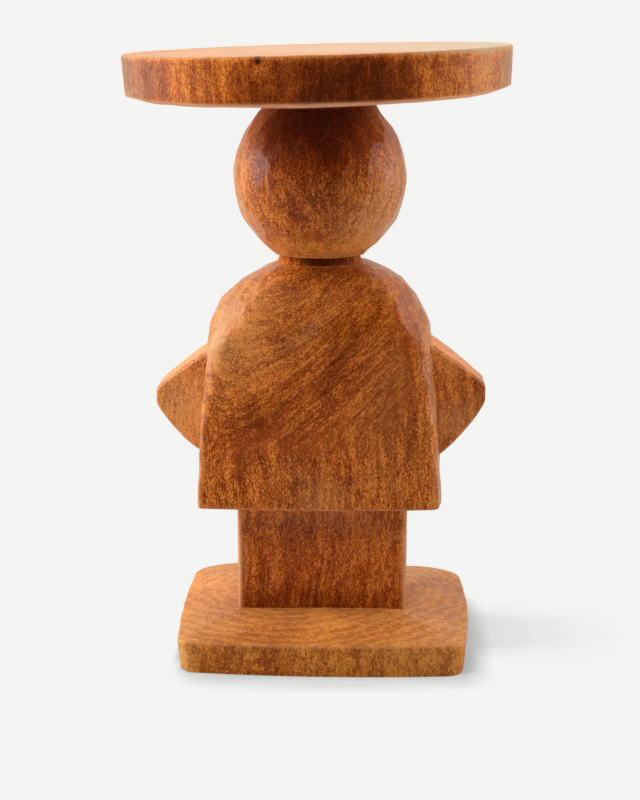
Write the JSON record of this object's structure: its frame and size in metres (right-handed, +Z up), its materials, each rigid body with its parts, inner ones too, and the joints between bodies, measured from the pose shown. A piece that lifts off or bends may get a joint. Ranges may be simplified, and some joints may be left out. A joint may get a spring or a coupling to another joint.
{
  "type": "side table",
  "caption": "Solid hardwood side table: a thick round top on a ball, a domed torso with short arms on its sides, a square-edged post and a crowned slab base.",
  "frame": {"origin": "on the floor, under the middle of the round top", "axes": "+Z up, the front of the torso faces -Y, the right arm is on +X"},
  "size_m": [0.2995, 0.2996, 0.4667],
  "materials": {
    "wood": "waxed satin, hand tooled",
    "dowel_wood": "bare beech",
    "screw_steel": "zinc plated",
    "felt": "pressed felt"
  },
  "bodies": {
    "root": {"table_top": "wood", "head": "wood", "neck": "wood", "torso": "wood", "arm_left": "wood", "arm_right": "wood", "post": "wood", "base": "wood", "top_dowels": "dowel_wood", "arm_left_dowels": "dowel_wood", "arm_right_dowels": "dowel_wood", "base_screws": "screw_steel", "felt_pads": "felt"}
  },
  "joints": []
}
